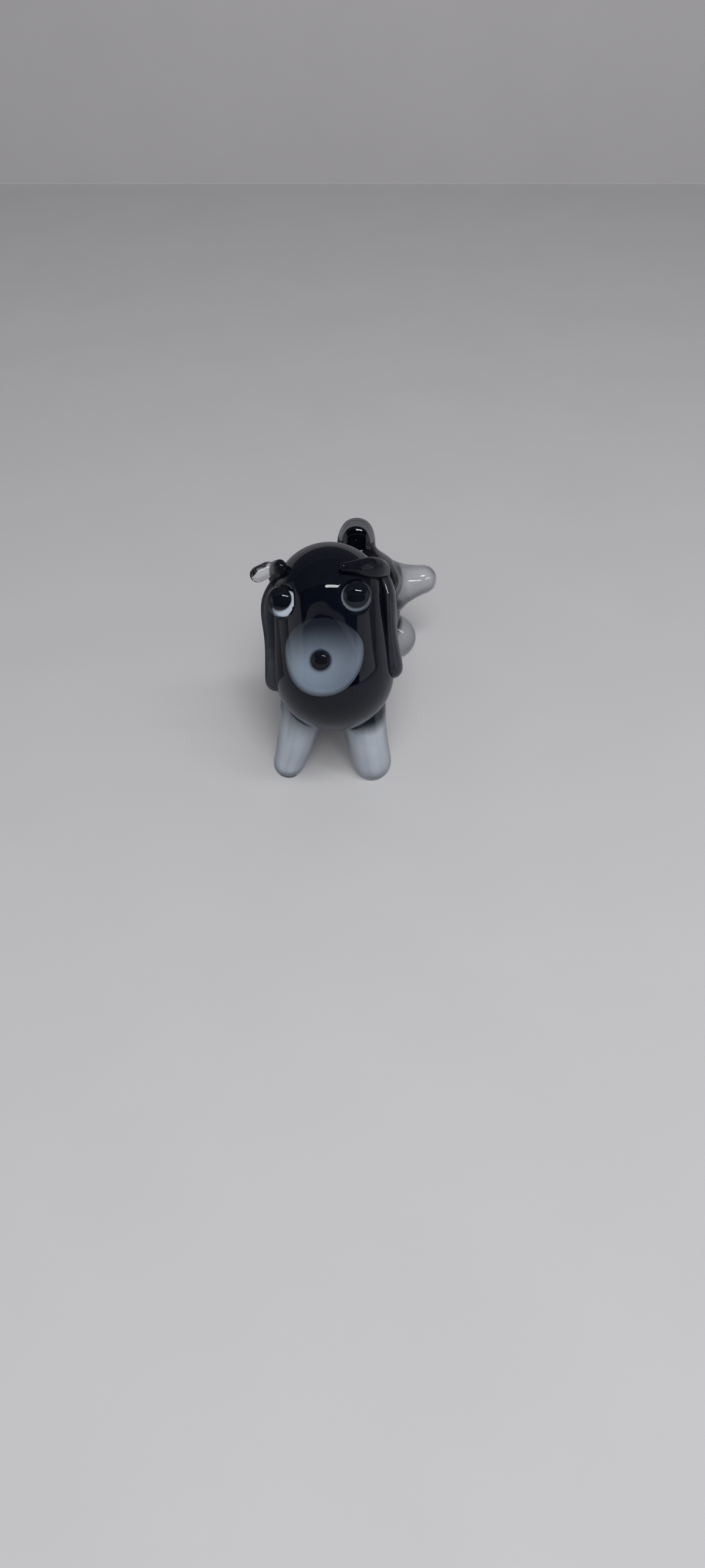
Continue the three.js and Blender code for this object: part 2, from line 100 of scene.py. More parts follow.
def radius_at(height):
    """The head's radius before it is drawn out: the crown's sphere, the muzzle's, and the cone that touches both."""
    height = np.asarray(height, float)
    top = CROWN_HEIGHT + CROWN_RADIUS * math.sin(HEAD_SLOPE)
    crown = np.sqrt(np.maximum(CROWN_RADIUS**2 - (height - CROWN_HEIGHT) ** 2, 0))
    muzzle = np.sqrt(np.maximum(MUZZLE_RADIUS**2 - (height + MUZZLE_DROP) ** 2, 0))
    cone = CROWN_RADIUS * math.cos(HEAD_SLOPE) + (top - height) * math.tan(HEAD_SLOPE)
    low = MUZZLE_RADIUS * math.sin(HEAD_SLOPE) - MUZZLE_DROP
    return np.where(height > top, crown, np.where(height < low, muzzle, cone))


def head_rings(depth, rows=150, columns=160):
    """The head's surface `depth` inside its skin, as rings from chin to crown. Ring heights follow a cosine,
    so they close up at both ends. The skin is sunk along its own normal, then drawn out in front."""
    low, high = -MUZZLE_DROP - MUZZLE_RADIUS, CROWN_HEIGHT + CROWN_RADIUS
    share = (1 - np.cos(np.linspace(0, math.pi, rows))) / 2
    height = low + (high - low) * share
    radius = radius_at(height)
    step_height, step_radius = np.gradient(height), np.gradient(radius)
    length = np.hypot(step_height, step_radius)
    radius_in = np.maximum(radius - depth * step_height / length, 0)
    height_in = height + depth * step_radius / length
    radius_in[[0, -1]] = 0
    height_in[[0, -1]] = low + depth, high - depth
    angle = np.linspace(0, 2 * math.pi, columns, endpoint=False)
    rings = np.empty((rows, columns, 3))
    rings[..., 0] = radius_in[:, None] * np.sin(angle)
    rings[..., 1] = height_in[:, None]
    rings[..., 2] = drawn_out(radius_in[:, None] * np.cos(angle), height_in[:, None])
    return in_head(rings)


def glass_piece(name, rings, glass, slot, replaces, **marks):
    """A closed mesh from rings (rows x columns x 3) whose first and last rows are single points: quads between
    rings, fans at the ends, a UV map with u round the rings and v along them, and one value a vertex per mark."""
    rows, columns = rings.shape[:2]
    inner = rings[1:-1].reshape(-1, 3)
    points = np.vstack([rings[0, :1], inner, rings[-1, :1]])
    first = 1 + np.arange(rows - 3)[:, None] * columns
    j = np.arange(columns)
    k = (j + 1) % columns
    quads = np.stack([first + j, first + k, first + columns + k, first + columns + j], -1).reshape(-1, 4)
    top = 1 + (rows - 3) * columns
    last = len(points) - 1
    start = np.stack([np.zeros(columns, int), 1 + k, 1 + j], -1)
    end = np.stack([top + j, top + k, np.full(columns, last)], -1)
    mesh = bpy.data.meshes.new(name)
    mesh.from_pydata(in_frame(points).tolist(), [], quads.tolist() + start.tolist() + end.tolist())

    def faces_uv(*corners):
        """The UV places of alike faces, face by face, from the u and v of each of their corners."""
        return np.stack([np.stack(np.broadcast_arrays(u, v), -1) for u, v in corners], 1).reshape(-1)

    left, right = j / columns, (j + 1) / columns
    level = np.arange(rows) / (rows - 1)
    low, high = np.repeat(level[1:-2], columns), np.repeat(level[2:-1], columns)
    all_left, all_right = np.tile(left, rows - 3), np.tile(right, rows - 3)
    uv = np.concatenate([faces_uv((all_left, low), (all_right, low), (all_right, high), (all_left, high)),
                         faces_uv((left, 0), (right, level[1]), (left, level[1])),
                         faces_uv((left, level[-2]), (right, level[-2]), (left, 1))])
    mesh.uv_layers.new(name="wrap").data.foreach_set("uv", uv)
    for mark, values in marks.items():
        row = np.concatenate([values[0, :1], values[1:-1].reshape(-1), values[-1, :1]])
        mesh.attributes.new(mark, "FLOAT", "POINT").data.foreach_set("value", row)
    mesh.shade_smooth()
    mesh.materials.append(glass)
    piece = bpy.data.objects.new(name, mesh)
    bpy.context.scene.collection.objects.link(piece)
    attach(piece, "root")
    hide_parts(*replaces)


WAVE_SCALE, SMUDGE_SCALE, CORD_SCALE = 230, 700, 420
WAVE_HEIGHT = 0.4
SMUDGE_START, SMUDGE_FULL = 0.5, 0.75


def noise(tree, vector, scale, detail, distortion=0.0):
    """A noise between 0 and 1 read at a vector, with `scale` of its cells to one unit of the vector."""
    texture = tree.nodes.new("ShaderNodeTexNoise")
    texture.inputs["Scale"].default_value = scale
    texture.inputs["Detail"].default_value = detail
    texture.inputs["Distortion"].default_value = distortion
    tree.links.new(vector, texture.inputs["Vector"])
    return texture.outputs["Fac"]


def flame_finish():
    """A node group for glass that was worked in a flame. It puts out a slow waviness as a normal, a roughness
    with faint smudges, and a mask of fine cords inside the glass, all on Object coordinates in metres."""
    group = bpy.data.node_groups.new("flame_finish", "ShaderNodeTree")
    for name, usual in (("Wave", 0.1), ("Roughness", 0.02), ("Smudge", 0.03)):
        socket = group.interface.new_socket(name, in_out="INPUT", socket_type="NodeSocketFloat")
        socket.default_value = usual
    for name, kind in (("Normal", "Vector"), ("Roughness", "Float"), ("Cords", "Float")):
        group.interface.new_socket(name, in_out="OUTPUT", socket_type=f"NodeSocket{kind}")
    nodes, links = group.nodes, group.links
    inputs, outputs = nodes.new("NodeGroupInput"), nodes.new("NodeGroupOutput")
    place = nodes.new("ShaderNodeTexCoord").outputs["Object"]

    bump = nodes.new("ShaderNodeBump")
    bump.inputs["Distance"].default_value = WAVE_HEIGHT * MM
    links.new(noise(group, place, WAVE_SCALE, detail=1), bump.inputs["Height"])
    links.new(inputs.outputs["Wave"], bump.inputs["Strength"])
    links.new(bump.outputs["Normal"], outputs.inputs["Normal"])

    smudged = nodes.new("ShaderNodeMapRange")
    smudged.inputs["From Min"].default_value = SMUDGE_START
    smudged.inputs["From Max"].default_value = SMUDGE_FULL
    links.new(noise(group, place, SMUDGE_SCALE, detail=4, distortion=1.5), smudged.inputs["Value"])
    amount = nodes.new("ShaderNodeMath")
    amount.operation = "MULTIPLY_ADD"
    links.new(smudged.outputs["Result"], amount.inputs[0])
    links.new(inputs.outputs["Smudge"], amount.inputs[1])
    links.new(inputs.outputs["Roughness"], amount.inputs[2])
    links.new(amount.outputs[0], outputs.inputs["Roughness"])

    links.new(noise(group, place, CORD_SCALE, detail=3, distortion=2.5), outputs.inputs["Cords"])
    return group


FLAME_FINISH = flame_finish()


def new_glass(name, wave, roughness, smudge, **shader_values):
    """A material with a Principled shader whose roughness and normal come from flame_finish. The other values
    are set on the shader's own sockets. Returns the material, its tree, the shader and the finish node."""
    material = bpy.data.materials.new(name)
    material.use_nodes = True
    tree = material.node_tree
    shader = tree.nodes["Principled BSDF"]
    finish = tree.nodes.new("ShaderNodeGroup")
    finish.node_tree = FLAME_FINISH
    for socket, value in (("Wave", wave), ("Roughness", roughness), ("Smudge", smudge)):
        finish.inputs[socket].default_value = value
    for socket in ("Roughness", "Normal"):
        tree.links.new(finish.outputs[socket], shader.inputs[socket])
    for socket, value in shader_values.items():
        shader.inputs[socket.replace("_", " ")].default_value = value
    return material, tree, shader, finish


def blended(tree, mask, one, other):
    """A colour that goes from `one` where a mask is 0 to `other` where it is 1. Each is a colour or a socket."""
    mix = tree.nodes.new("ShaderNodeMix")
    mix.data_type = "RGBA"
    tree.links.new(mask, mix.inputs["Factor"])
    for name, colour in (("A", one), ("B", other)):
        if isinstance(colour, bpy.types.NodeSocket):
            tree.links.new(colour, mix.inputs[name])
        else:
            mix.inputs[name].default_value = (*colour, 1)
    return mix.outputs["Result"]


def clear_glass(name, wave=0.12, roughness=0.0, smudge=0.05, dark=(0.93, 0.95, 0.96), light=(0.98, 0.99, 1.0),
                **shader_values):
    """Clear glass, its tint a little uneven with the cords in it. It lets lamps through for shadow rays."""
    values = {"IOR": 1.5, "Transmission_Weight": 1.0, **shader_values}
    material, tree, shader, finish = new_glass(name, wave, roughness, smudge, **values)
    tree.links.new(blended(tree, finish.outputs["Cords"], dark, light), shader.inputs["Base Color"])
    passing = tree.nodes.new("ShaderNodeBsdfTransparent")
    path = tree.nodes.new("ShaderNodeLightPath")
    mixed = tree.nodes.new("ShaderNodeMixShader")
    tree.links.new(path.outputs["Is Shadow Ray"], mixed.inputs["Fac"])
    tree.links.new(shader.outputs["BSDF"], mixed.inputs[1])
    tree.links.new(passing.outputs["BSDF"], mixed.inputs[2])
    tree.links.new(mixed.outputs["Shader"], tree.nodes["Material Output"].inputs["Surface"])
    return material


def cased_black(name, dark=(0.0015, 0.0022, 0.0045), light=(0.0035, 0.005, 0.0095)):
    """Black glass under a clear casing: no gloss of its own, and faint paler cords drawn out in it."""
    material, tree, shader, finish = new_glass(name, wave=0.1, roughness=0.35, smudge=0.1, Specular_IOR_Level=0.0)
    tree.links.new(blended(tree, finish.outputs["Cords"], dark, light), shader.inputs["Base Color"])
    return material


CLEAR = clear_glass("clear_glass")
CASED_BLACK = cased_black("cased_black_glass")

glass_piece("head_black", head_rings(HEAD_CORE_DEPTH), CASED_BLACK, "black_glass", ["head_core"])

# Eyes. Each is a bead pressed hot into the head: opal white below, a flattened black dot laid on it, and a
# clear dome over both. The dot sits up and out from the white's middle, so the white shows as a crescent,
# which is bright on the dog's right and dim on its left.
EYE_SPREAD = math.radians(42)
EYE_HEIGHT, EYE_SINK = 4.4, 0.3
EYE_LIFT = math.radians(6)
EYE_STAND = {"left": 0.3, "right": 0.7}
EYE_LOOK = {"left": math.radians(15), "right": math.radians(-7)}
EYE_RADIUS, EYE_HALF_DEPTH = 1.85, 1.6
SIDE = {"left": 1, "right": -1}


def beside_head(side, angle, distance, height):
    """A point beside the head, `distance` from its axis at an angle from the face's front, drawn out with it."""
    return in_head([side * distance * math.sin(angle), height, float(drawn_out(distance * math.cos(angle), height))])


def eye_axes(name):
    """The centre of an eye and three axes: across, up and out along its look, all in the dog's frame."""
    centre = beside_head(SIDE[name], EYE_SPREAD, float(radius_at(EYE_HEIGHT)) - EYE_SINK, EYE_HEIGHT)
    look = SIDE[name] * EYE_LOOK[name]
    level = math.cos(EYE_LIFT)
    out = HEAD_TURN @ np.array([level * math.sin(look), math.sin(EYE_LIFT), level * math.cos(look)])
    across = np.cross(HEAD_TURN @ np.array([0.0, 1.0, 0.0]), out)
    across /= np.linalg.norm(across)
    return centre + EYE_STAND[name] * out, across, np.cross(out, across), out


def bead_rings(centre, across, up, out, radius, low, high, rows=40, columns=48, power=2.0):
    """A turned bead along `out`, from `low` below its centre plane to `high` above it: its section is a
    superellipse, whose corners are fuller with a greater power. Rings go from the lowest point to the highest."""
    angle = np.linspace(-math.pi / 2, math.pi / 2, rows)
    rise, spread = np.sin(angle), np.cos(angle)
    level = np.sign(rise) * np.abs(rise) ** (2 / power)
    level = np.where(level < 0, level * low, level * high)
    size = radius * np.abs(spread) ** (2 / power)
    size[[0, -1]] = 0
    turn = np.linspace(0, 2 * math.pi, columns, endpoint=False)
    return (centre + level[:, None, None] * out + size[:, None, None]
            * (np.cos(turn)[:, None] * across + np.sin(turn)[:, None] * up))


def smooth(share):
    """The S-curve 3s^2 - 2s^3 of a share that is held between 0 and 1."""
    share = np.clip(share, 0, 1)
    return share * share * (3 - 2 * share)


def pressed_in(rings, margin=1.06, lip=0.12, depth=0.9):
    """The head's skin where beads were pressed into it: points inside an eye, whose ellipsoidal distance is
    under `margin`, sink towards the head's axis at eye height, by an S-curve that reaches `depth` over `lip`."""
    for name in SIDE:
        centre, across, up, out = eye_axes(name)
        local = (rings - centre) @ np.stack([across, up, out], -1)
        distance = np.linalg.norm(local / [EYE_RADIUS, EYE_RADIUS, EYE_HALF_DEPTH], axis=-1)
        sink = depth * smooth((margin - distance) / lip)
        inward = HEAD_CENTRE + HEAD_TURN @ np.array([0, EYE_HEIGHT, 0]) - rings
        rings = rings + sink[..., None] * inward / np.linalg.norm(inward, axis=-1, keepdims=True)
    return rings


glass_piece("head_clear", pressed_in(head_rings(0.0)), CLEAR, "clear_glass", ["head_casing"])

OPAL_GLOW_RADIUS = (0.8, 0.95, 1.0)
# What the `shade` mark darkens to: black glass at seams and under thin milk, and painted shade and shadow.
BLACK_AND_PAINTED_SHADE = (0.006, 0.008, 0.014)


def opal_glass(name, dark, light, streak_scale=(6, 1.2), **shader_values):
    """Milky glass that light sinks into: a blue-grey that pales along streaks drawn out with the gather, on its
    UV map. Where the mark `shade` is 1 it darkens to black, for black glass at seams and painted shade."""
    values = {"Subsurface_Weight": 0.5, "Subsurface_Scale": 0.0012, "Specular_IOR_Level": 0.0, **shader_values}
    material, tree, shader, _ = new_glass(name, wave=0.08, roughness=0.3, smudge=0.1, **values)
    shader.inputs["Subsurface Radius"].default_value = OPAL_GLOW_RADIUS
    wrap = tree.nodes.new("ShaderNodeUVMap")
    wrap.uv_map = "wrap"
    stretch = tree.nodes.new("ShaderNodeMapping")
    stretch.inputs["Scale"].default_value = (*streak_scale, 1)
    tree.links.new(wrap.outputs["UV"], stretch.inputs["Vector"])
    milk = blended(tree, noise(tree, stretch.outputs["Vector"], 1, detail=4), dark, light)
    shade = tree.nodes.new("ShaderNodeAttribute")
    shade.attribute_name = "shade"
    tree.links.new(blended(tree, shade.outputs["Fac"], milk, BLACK_AND_PAINTED_SHADE), shader.inputs["Base Color"])
    return material


EYE_WHITE = opal_glass("eye_white_glass", (0.45, 0.53, 0.62), (0.59, 0.66, 0.73))
EYE_BLACK = cased_black("eye_black_glass", dark=(0.002, 0.0025, 0.004), light=(0.008, 0.01, 0.016))
EYE_CLEAR = clear_glass("eye_clear_glass", wave=0.05, smudge=0.02, dark=(0.58, 0.60, 0.64), light=(0.66, 0.68, 0.72))
WHITE_SHADE = {"left": 0.6, "right": 0.0}
WHITE_SHIFT = {"left": (-0.16, -0.26), "right": (0.44, -0.46)}
WHITE_RADIUS, WHITE_BELOW, WHITE_ABOVE, WHITE_POWER = 1.3, 1.1, 0.25, 3.0
PUPIL_SHIFT = {"left": (0.06, 0.06), "right": (-0.12, 0.20)}
PUPIL_RADIUS = {"left": 1.28, "right": 1.12}
PUPIL_LEVEL, PUPIL_BELOW, PUPIL_ABOVE, PUPIL_POWER = 0.45, 0.25, 0.35, 2.6


def in_eye(name, shift, level=0.0):
    """A point of an eye: its centre, moved across and up by a shift and raised to a level along its look."""
    centre, across, up, out = eye_axes(name)
    return centre + shift[0] * across + shift[1] * up + level * out


for name in SIDE:
    centre, *axes = eye_axes(name)
    white = bead_rings(in_eye(name, WHITE_SHIFT[name]), *axes, WHITE_RADIUS, WHITE_BELOW, WHITE_ABOVE,
                       power=WHITE_POWER)
    glass_piece(f"eye_white_{name}_opal", white, EYE_WHITE, "opal_glass", [f"eye_white_{name}"],
                shade=np.full(white.shape[:2], WHITE_SHADE[name]))
    pupil = bead_rings(in_eye(name, PUPIL_SHIFT[name], PUPIL_LEVEL), *axes, PUPIL_RADIUS[name], PUPIL_BELOW,
                       PUPIL_ABOVE, power=PUPIL_POWER)
    glass_piece(f"eye_pupil_{name}_black", pupil, EYE_BLACK, "black_glass", [f"eye_pupil_{name}"])
    dome = bead_rings(centre, *axes, EYE_RADIUS, EYE_HALF_DEPTH, EYE_HALF_DEPTH)
    glass_piece(f"eye_dome_{name}", dome, EYE_CLEAR, "clear_glass", [f"eye_lens_{name}"])

# Muzzle patch and nose. The patch is a thin wash of opal white laid on the black before the head was cased,
# and the black shows through it towards the brow and at its rim. Painted shade darkens it towards the dog's left,
# and a ring of painted shadow lies round the nose. The nose is a black bead pressed into it.
MUZZLE_OFFSET = 0.35
PATCH_TOP, PATCH_WIDEST, PATCH_BOTTOM, PATCH_HALF_WIDTH = 2.2, -1.5, -6.6, 4.5
PATCH_JAW_FULLNESS = 2.15
PATCH_DEPTH, PATCH_THICKNESS = 0.12, 0.3
NOSE_HEIGHT, NOSE_RADIUS, NOSE_HALF_HEIGHT, NOSE_RISE = -2.5, 1.03, 0.6, -0.12
# The width of the painted shadow of the nose on the wash: a dark ring round it.
NOSE_SHADOW_WIDTH = 0.55
BROW_FADE, BROW_FADE_START, BROW_FADE_LENGTH = 0.97, -3.7, 5.6
# Painted shade: the wash darkens towards the dog's left side.
SIDE_PAINTED_SHADE, SIDE_FADE_START, SIDE_FADE_LENGTH = 0.35, -1.2, 5.0
RIM_FADE, RIM_FADE_START = 0.7, 0.86


def on_face(across, height, depth):
    """Points `depth` under the skin in front of the face, at a distance across it and a height up the head."""
    radius = radius_at(height) - depth
    out = np.sqrt(np.maximum(radius**2 - across**2, 0))
    return in_head(np.stack([across, height, drawn_out(out, height)], -1))


def patch_rings(rows=60, columns=96):
    """The opal wash: a lens bounded by half an ellipse above and half a fuller superellipse below. Rings run from
    the middle of its inner face out to the rim and back over its outer face. It thins out to the rim. Also gives
    how far each point lies across the face, its height up the head and its share of the way to the rim."""
    half = rows // 2
    reach = np.concatenate([np.sin(np.linspace(0, math.pi / 2, half)), np.sin(np.linspace(math.pi / 2, 0, half))])
    turn = np.linspace(0, 2 * math.pi, columns, endpoint=False)
    reach, turn = np.meshgrid(reach, turn, indexing="ij")
    rise = np.where(np.sin(turn) > 0, PATCH_TOP - PATCH_WIDEST, PATCH_WIDEST - PATCH_BOTTOM)
    power = np.where(np.sin(turn) > 0, 2, PATCH_JAW_FULLNESS)
    full = (np.abs(np.cos(turn)) ** power + np.abs(np.sin(turn)) ** power) ** (-1 / power)
    across = MUZZLE_OFFSET + PATCH_HALF_WIDTH * reach * full * np.cos(turn)
    height = PATCH_WIDEST + rise * reach * full * np.sin(turn)
    body = np.sqrt(np.maximum(1 - reach**2, 0)) * PATCH_THICKNESS
    inner = np.arange(2 * half)[:, None] < half
    return on_face(across, height, PATCH_DEPTH + np.where(inner, body, 0)), across, height, reach


nose_out = float(drawn_out(radius_at(NOSE_HEIGHT), NOSE_HEIGHT)) + NOSE_RISE
nose_middle = in_head([MUZZLE_OFFSET, NOSE_HEIGHT, nose_out])
patch, patch_across, patch_height, patch_reach = patch_rings()
fade = BROW_FADE * smooth((patch_height - BROW_FADE_START) / BROW_FADE_LENGTH)
# Painted shade towards the dog's left side.
fade = fade + (1 - fade) * SIDE_PAINTED_SHADE * smooth((patch_across - SIDE_FADE_START) / SIDE_FADE_LENGTH)
fade = np.maximum(fade, RIM_FADE * smooth((patch_reach - RIM_FADE_START) / (1 - RIM_FADE_START)))
from_nose = np.linalg.norm(patch - nose_middle, axis=-1)
# Painted shadow of the nose: a dark ring round it.
fade = np.maximum(fade, smooth((NOSE_RADIUS + NOSE_SHADOW_WIDTH - from_nose) / NOSE_SHADOW_WIDTH))
MUZZLE_OPAL = opal_glass("muzzle_opal_glass", (0.185, 0.222, 0.275), (0.24, 0.285, 0.35), streak_scale=(3, 5),
                         Subsurface_Scale=0.0004)
glass_piece("muzzle_opal", patch, MUZZLE_OPAL, "opal_glass", ["muzzle_patch"], shade=fade)


def bare_black(name, dark=(0.002, 0.0025, 0.004), light=(0.008, 0.009, 0.014)):
    """Black glass with its own fire-polished skin, and a little depth from paler cords in it."""
    material, tree, shader, finish = new_glass(name, wave=0.1, roughness=0.03, smudge=0.08, IOR=1.4)
    tree.links.new(blended(tree, finish.outputs["Cords"], dark, light), shader.inputs["Base Color"])
    return material


BARE_BLACK = bare_black("bare_black_glass")
nose = bead_rings(nose_middle, *HEAD_TURN.T, NOSE_RADIUS, NOSE_HALF_HEIGHT, NOSE_HALF_HEIGHT)
glass_piece("nose_black", nose, BARE_BLACK, "black_glass", ["nose"])

# Ears. A black root is laid on the crown at each side, and a flat black ribbon cased in clear hangs from it
# down the head. The dog's right ear also has a clear stub that stands out sideways from its root.
EAR_ANGLE = math.radians(97)
EAR_STANDOFF = {"right": 0.45, "left": -0.2}
EAR_TOP_HEIGHT, EAR_SHOULDER_DROP = 7.4, 2.4
EAR_LENGTH = {"right": 12.2, "left": 11.5}
EAR_HALF_THICKNESS, EAR_LOBE_HALF_THICKNESS, EAR_TOP_HALF_WIDTH, EAR_HALF_WIDTH = 0.9, 1.3, 1.3, 2.2
EAR_WALL, EAR_EDGE_WALL = {"right": 0.45, "left": 0.55}, 0.15
EAR_ROOT_HALF_THICKNESS, EAR_ROOT_HALF_WIDTH = 0.9, 1.2
EAR_ROOT_RISE = {"right": 0.9, "left": 0.3}
EAR_ROOT_START = {"right": math.radians(50), "left": math.radians(30)}
EAR_ROOT_TAPER = {"right": 0.9, "left": 0.45}
EAR_TIP_RADIUS, EAR_TIP_LENGTH, EAR_TIP_ANGLE, EAR_TIP_RISE = 0.95, 2.2, math.radians(70), 1.0


def along(sizes, t):
    """Values along a list of sizes, from the first at t = 0 to the last at t = 1: a Catmull-Rom curve."""
    sizes = np.asarray(sizes, float)
    t = np.clip(np.asarray(t, float), 0, 1) * (len(sizes) - 1)
    i = np.minimum(t.astype(int), len(sizes) - 2)
    f = t - i
    p0, p1, p2, p3 = sizes[np.maximum(i - 1, 0)], sizes[i], sizes[i + 1], sizes[np.minimum(i + 2, len(sizes) - 1)]
    return 0.5 * (2 * p1 + (p2 - p0) * f + (2 * p0 - 5 * p1 + 4 * p2 - p3) * f**2
                  + (3 * p1 - p0 - 3 * p2 + p3) * f**3)


def spine_points(spine, t):
    """Points at shares t of the length of a centripetal Catmull-Rom curve: cubic Hermite pieces, with knots
    spaced by the square root of the distance between the points, then measured off along the curve."""
    p = np.asarray(spine, float)
    p = np.vstack([2 * p[0] - p[1], p, 2 * p[-1] - p[-2]])
    gap = np.sqrt(np.linalg.norm(np.diff(p, axis=0), axis=1))[:, None]
    slope = np.diff(p, axis=0) / gap
    wide = (p[2:] - p[:-2]) / (gap[1:] + gap[:-1])
    tangent = slope[:-1] - wide + slope[1:]
    f = np.linspace(0, 1, 200)[None, :, None]
    start, end = p[1:-2, None], p[2:-1, None]
    leave, arrive = (tangent[:-1] * gap[1:-1])[:, None], (tangent[1:] * gap[1:-1])[:, None]
    curve = ((2 * f**3 - 3 * f**2 + 1) * start + (f**3 - 2 * f**2 + f) * leave
             + (3 * f**2 - 2 * f**3) * end + (f**3 - f**2) * arrive).reshape(-1, 3)
    reach = np.concatenate([[0], np.cumsum(np.linalg.norm(np.diff(curve, axis=0), axis=1))])
    return np.stack([np.interp(t * reach[-1], reach, curve[:, i]) for i in range(3)], -1)


EVEN_PULL, EVEN_START, EVEN_LENGTH = 0.5, 0.3, 0.6


def gather_rings(spine, wide, thin=None, across=(1, 0, 0), grow=0.0, rows=90, dome_rows=16, columns=72, relax=12):
    """A gather of glass: elliptical rings square to a spine, whose half-sizes `wide` and `thin` are made greater
    by `grow`, with a dome at each end as deep as the thinner half-size. Away from its ends the form is then evened
    out as in the flame: `relax` times over, each ring is drawn part of the way to the mean of its neighbours."""
    thin = wide if thin is None else thin
    dome = np.cos(np.linspace(0, math.pi / 2, dome_rows))
    t = np.concatenate([np.zeros(dome_rows), np.linspace(0, 1, rows)[1:-1], np.ones(dome_rows)])
    lift = np.concatenate([-dome, np.zeros(rows - 2), dome[::-1]])
    fine = np.linspace(0, 1, 400)
    path = spine_points(spine, fine)
    heading = np.gradient(path, fine, axis=0)
    heading /= np.linalg.norm(heading, axis=1, keepdims=True)
    centre = np.stack([np.interp(t, fine, path[:, i]) for i in range(3)], -1)
    heading = np.stack([np.interp(t, fine, heading[:, i]) for i in range(3)], -1)
    side = np.asarray(across, float) - (heading @ np.asarray(across, float))[:, None] * heading
    side /= np.linalg.norm(side, axis=1, keepdims=True)
    square = np.cross(heading, side)
    half_wide, half_thin = along(wide, t) + grow, along(thin, t) + grow
    centre = centre + (lift * np.minimum(half_wide, half_thin))[:, None] * heading
    share = np.sqrt(np.maximum(1 - lift**2, 0))
    turn = np.linspace(0, 2 * math.pi, columns, endpoint=False)
    rings = (centre[:, None] + (half_wide * share)[:, None, None] * np.cos(turn)[:, None] * side[:, None]
             + (half_thin * share)[:, None, None] * np.sin(turn)[:, None] * square[:, None])
    from_end = np.minimum(np.arange(len(t)), np.arange(len(t))[::-1])
    pull = EVEN_PULL * smooth((from_end - EVEN_START * dome_rows) / (EVEN_LENGTH * dome_rows))[1:-1, None, None]
    for _ in range(relax):
        rings[1:-1] += pull * (0.5 * (rings[:-2] + rings[2:]) - rings[1:-1])
    return rings


def ear_flap(name, wall=0.0, edge_wall=0.0):
    """The flap of an ear, flat against the side of the head, from its root to its rounded end. It lies under a
    wall of clear glass that is thinner at its two edges."""
    side = SIDE[name]
    distance = MUZZLE_RADIUS + EAR_STANDOFF[name]
    shoulder, end = EAR_TOP_HEIGHT - EAR_SHOULDER_DROP, EAR_TOP_HEIGHT - EAR_LENGTH[name]
    spine = [beside_head(side, EAR_ANGLE, float(radius_at(EAR_TOP_HEIGHT)), EAR_TOP_HEIGHT),
             beside_head(side, EAR_ANGLE, distance, shoulder),
             beside_head(side, EAR_ANGLE, distance, (shoulder + end) / 2),
             beside_head(side, EAR_ANGLE, distance, end)]
    flat = HEAD_TURN @ np.array([math.cos(EAR_ANGLE), 0, -side * math.sin(EAR_ANGLE)])
    half_widths = np.array([EAR_TOP_HALF_WIDTH, EAR_HALF_WIDTH, EAR_HALF_WIDTH, EAR_HALF_WIDTH]) - edge_wall
    half_depths = np.array([EAR_HALF_THICKNESS] * 3 + [EAR_LOBE_HALF_THICKNESS]) - wall
    return gather_rings(spine, half_widths, half_depths, flat)


def ear_root(name):
    """The black root of an ear: it lies on the crown's circle and sinks to the top of the ribbon."""
    side = SIDE[name]
    lift = CROWN_RADIUS + EAR_ROOT_HALF_THICKNESS / 2
    spine = []
    for share in (0, 1 / 3, 2 / 3, 1):
        height = EAR_TOP_HEIGHT + EAR_ROOT_RISE[name] * (1 - share**2)
        distance = math.sqrt(lift**2 - (height - CROWN_HEIGHT) ** 2)
        angle = EAR_ROOT_START[name] + share * (EAR_ANGLE - EAR_ROOT_START[name])
        spine.append(beside_head(side, angle, distance, height))
    share = EAR_ROOT_TAPER[name]
    return gather_rings(spine, [EAR_ROOT_HALF_WIDTH * share, EAR_ROOT_HALF_WIDTH, EAR_ROOT_HALF_WIDTH],
                        [EAR_ROOT_HALF_THICKNESS * share, EAR_ROOT_HALF_THICKNESS * (1 + share) / 2,
                         EAR_ROOT_HALF_THICKNESS], HEAD_TURN[:, 1])


EAR_CLEAR = clear_glass("ear_clear_glass", wave=0.2)
# Painted sheen: the ribbons' black is made paler than the other black glass, the dog's right one more, standing in
# for the light their sides mirror.
EAR_BLACK_AND_SHEEN = {
    "right": cased_black("ear_right_black_glass", dark=(0.030, 0.033, 0.042), light=(0.058, 0.063, 0.076)),
    "left": cased_black("ear_left_black_glass", dark=(0.018, 0.020, 0.026), light=(0.035, 0.039, 0.048))}
for name in SIDE:
    ribbon = ear_flap(name, EAR_WALL[name], EAR_EDGE_WALL)
    glass_piece(f"ear_ribbon_{name}", ribbon, EAR_BLACK_AND_SHEEN[name], "black_glass", [f"ear_flap_{name}"])
    glass_piece(f"ear_clear_{name}", ear_flap(name), EAR_CLEAR, "clear_glass", [f"ear_casing_{name}"])
    glass_piece(f"ear_root_{name}_black", ear_root(name), BARE_BLACK, "black_glass", [f"ear_root_{name}"])

tip_start = float(radius_at(EAR_TOP_HEIGHT)) + EAR_TIP_RADIUS
tip_end = tip_start + EAR_TIP_LENGTH - EAR_TIP_RADIUS
tip_spine = [beside_head(SIDE["right"], EAR_TIP_ANGLE, tip_start, EAR_TOP_HEIGHT + EAR_TIP_RISE),
             beside_head(SIDE["right"], EAR_TIP_ANGLE, tip_end, EAR_TOP_HEIGHT + EAR_TIP_RISE / 2)]
tip = gather_rings(tip_spine, [EAR_TIP_RADIUS, EAR_TIP_RADIUS], across=HEAD_TURN[:, 1])
glass_piece("ear_tip_clear", tip, EAR_CLEAR, "clear_glass", ["ear_tip_right"])

